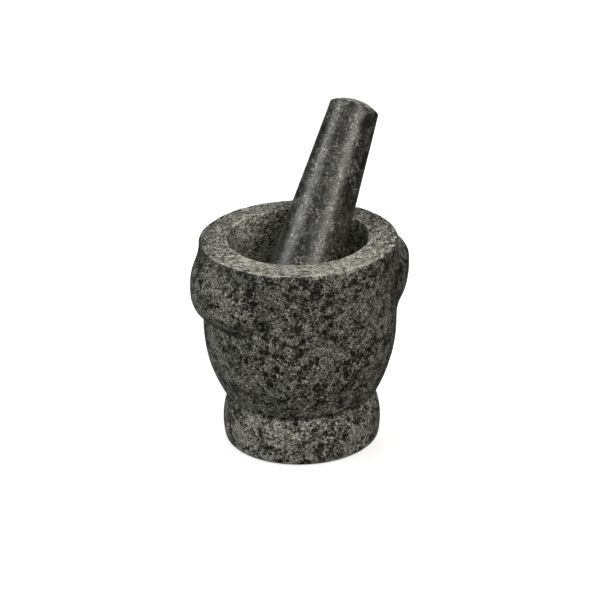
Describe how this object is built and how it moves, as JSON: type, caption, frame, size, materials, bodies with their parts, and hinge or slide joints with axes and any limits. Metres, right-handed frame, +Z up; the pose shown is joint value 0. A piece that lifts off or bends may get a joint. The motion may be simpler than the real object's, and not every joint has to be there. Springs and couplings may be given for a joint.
{
  "type": "mortar and pestle",
  "caption": "Stone mortar on a grooved foot, with a deep round bowl and side lugs for grip, and a tapered club-shaped pestle leaning in it.",
  "frame": {"origin": "centre of the mortar's flat foot, on the surface that it stands on", "axes": "+Z up along the axis of the mortar's turned outside; the two grip lugs point along -X and +X; the pestle leans towards +X and +Y, 29 degrees from +X"},
  "size_m": [0.1418, 0.12, 0.1999],
  "materials": {
    "honed_granite": "satin",
    "polished_granite": "gloss"
  },
  "bodies": {
    "mortar": {"mortar": "honed_granite"},
    "pestle": {"pestle": "polished_granite"}
  },
  "joints": [
    {"name": "pestle_lift", "type": "slide", "parent": "mortar", "child": "pestle", "axis": [0, 0, 1], "range_m": [0, 0.12]}
  ]
}
